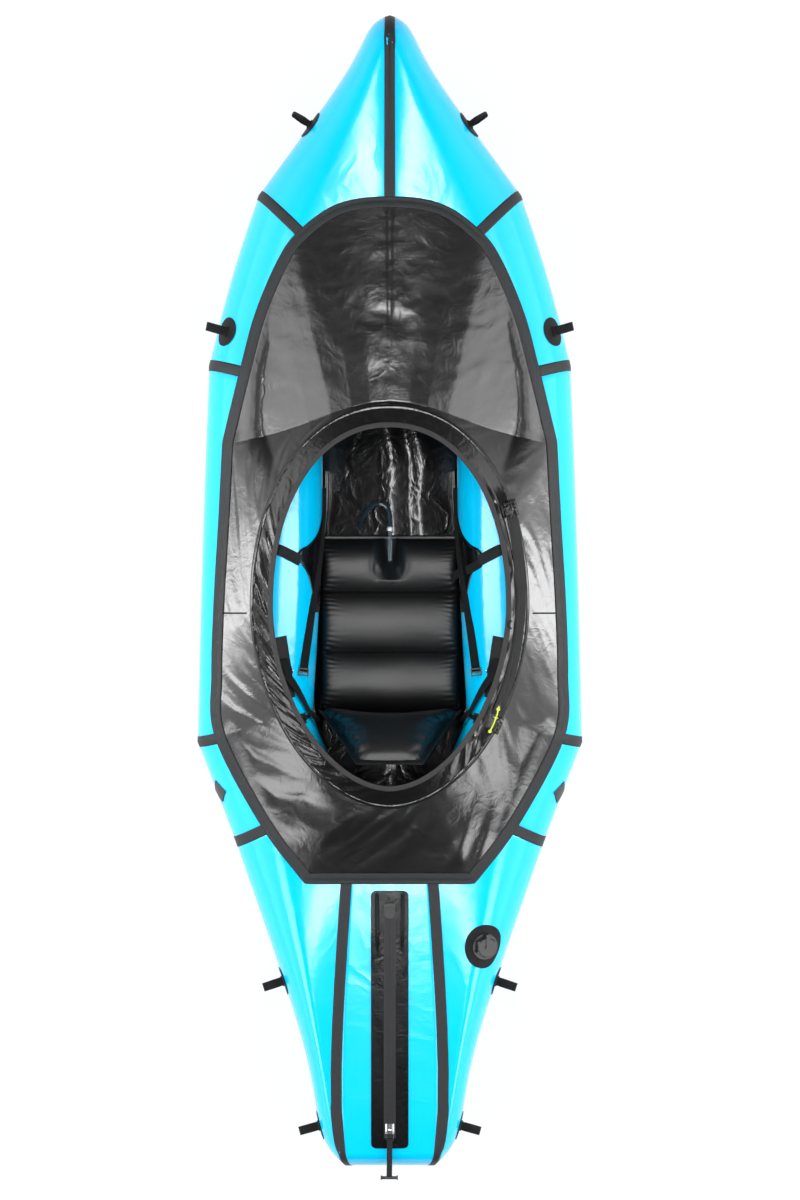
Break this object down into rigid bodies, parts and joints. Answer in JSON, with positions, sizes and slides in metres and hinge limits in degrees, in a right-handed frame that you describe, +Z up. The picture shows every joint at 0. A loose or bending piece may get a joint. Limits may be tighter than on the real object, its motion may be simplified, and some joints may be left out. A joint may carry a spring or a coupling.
{
  "type": "packraft",
  "caption": "Decked inflatable packraft with coaming, cargo zip, inflatable seat and backrest, for one paddler.",
  "frame": {"origin": "underside of the floor sheet, under the middle of the hull without its zip pull", "axes": "+X to the right seen from above with the bow ahead, +Y to the bow, +Z up"},
  "size_m": [0.9476, 2.8472, 0.393],
  "materials": {
    "hull": "semi-gloss coated fabric",
    "tape": "satin coated tape",
    "deck": "gloss coated fabric",
    "webbing": "matte webbing",
    "plastic": "satin",
    "metal": "polished",
    "cord": "matte braided cord",
    "clear": "clear gloss",
    "rod": "satin rod"
  },
  "bodies": {
    "hull": {"aft_panel_left": "hull", "aft_panel_right": "hull", "back_strap_left": "webbing", "back_strap_right": "webbing", "bow_panel_left": "hull", "bow_panel_right": "hull", "bow_seam_tape": "tape", "bow_tie_down_left": "webbing", "bow_tie_down_right": "webbing", "buckle_patch_left": "webbing", "buckle_patch_right": "webbing", "cargo_patch": "deck", "cargo_zip_dock": "plastic", "cargo_zip_rails": "plastic", "coaming_binding": "webbing", "coaming_hoop": "rod", "coaming_neck": "deck", "coaming_sleeve": "deck", "coaming_zip_tape": "tape", "deck_edge_tape": "tape", "floor_sheet": "deck", "fore_deck": "deck", "fore_panel_left": "hull", "fore_panel_right": "hull", "front_strap_left": "webbing", "front_strap_right": "webbing", "inflation_hose": "clear", "mid_tie_down_left": "webbing", "mid_tie_down_right": "webbing", "rear_deck": "deck", "rear_tie_down_left": "webbing", "rear_tie_down_right": "webbing", "seat_cushion": "deck", "seat_valve_nut": "metal", "side_panel_left": "hull", "side_panel_right": "hull", "stern_centre_panel": "hull", "stern_seam_tape_left": "tape", "stern_seam_tape_right": "tape", "stern_side_panel_left": "hull", "stern_side_panel_right": "hull", "stern_tie_down_left": "webbing", "stern_tie_down_right": "webbing", "strap_buckle_left": "plastic", "strap_buckle_right": "plastic", "valve_body": "plastic", "valve_patch": "webbing", "valve_spring": "metal"},
    "cargo_slider": {"cargo_zip_slider": "metal"},
    "cargo_bail": {"cargo_zip_bail": "metal"},
    "cargo_pull": {"cargo_zip_pull": "webbing"},
    "coaming_slider": {"coaming_zip_slider": "plastic", "coaming_zip_cord": "cord"},
    "valve_leash": {"valve_leash": "plastic"},
    "valve_cap": {"valve_cap": "plastic"},
    "valve_plunger": {"valve_plunger": "plastic"},
    "backrest": {"backrest": "deck"},
    "seat_valve": {"seat_valve_stem": "clear"}
  },
  "joints": [
    {"name": "cargo_zip_travel", "type": "slide", "parent": "hull", "child": "cargo_slider", "axis": [0, 0.9985, 0.0551], "range_m": [0, 0.5]},
    {"name": "cargo_bail_swing", "type": "hinge", "parent": "cargo_slider", "child": "cargo_bail", "pos_m": [0, -1.31605, 0.26019], "axis": [1, 0, 0], "range_deg": [-90, 0]},
    {"name": "cargo_pull_swing", "type": "hinge", "parent": "cargo_bail", "child": "cargo_pull", "pos_m": [0, -1.33702, 0.25903], "axis": [1, 0, 0], "range_deg": [-80, 0]},
    {"name": "coaming_zip_travel", "type": "hinge", "parent": "hull", "child": "coaming_slider", "pos_m": [-0.5055, -0.00303, 0.37346], "axis": [0, -0.0416, 0.9991], "range_deg": [0, 34.3]},
    {"name": "valve_cap_lift", "type": "slide", "parent": "hull", "child": "valve_leash", "axis": [0.3277, -0.1008, 0.9394], "range_m": [0, 0.006]},
    {"name": "valve_cap_turn", "type": "hinge", "parent": "valve_leash", "child": "valve_cap", "pos_m": [0.229, -0.862, 0.27319], "axis": [0.3277, -0.1008, 0.9394], "range_deg": [0, 180]},
    {"name": "valve_plunger_press", "type": "slide", "parent": "hull", "child": "valve_plunger", "axis": [-0.3277, 0.1008, -0.9394], "range_m": [0, 0.006], "stiffness_N_per_m": 200, "springref_m": -0.003, "deforming": ["valve_spring"]},
    {"name": "backrest_fold", "type": "hinge", "parent": "hull", "child": "backrest", "pos_m": [0, -0.3112, 0.0362], "axis": [1, 0, 0], "range_deg": [-28, 0], "deforming": ["back_strap_left", "back_strap_right"]},
    {"name": "seat_valve_twist", "type": "hinge", "parent": "hull", "child": "seat_valve", "pos_m": [0, 0.07537, 0.07547], "axis": [0, 1, 0], "range_deg": [-90, 0]}
  ],
  "couplings": [
    {"joint": "valve_cap_lift", "follows": "valve_cap_turn", "m_per_rad": 0.0019099}
  ]
}
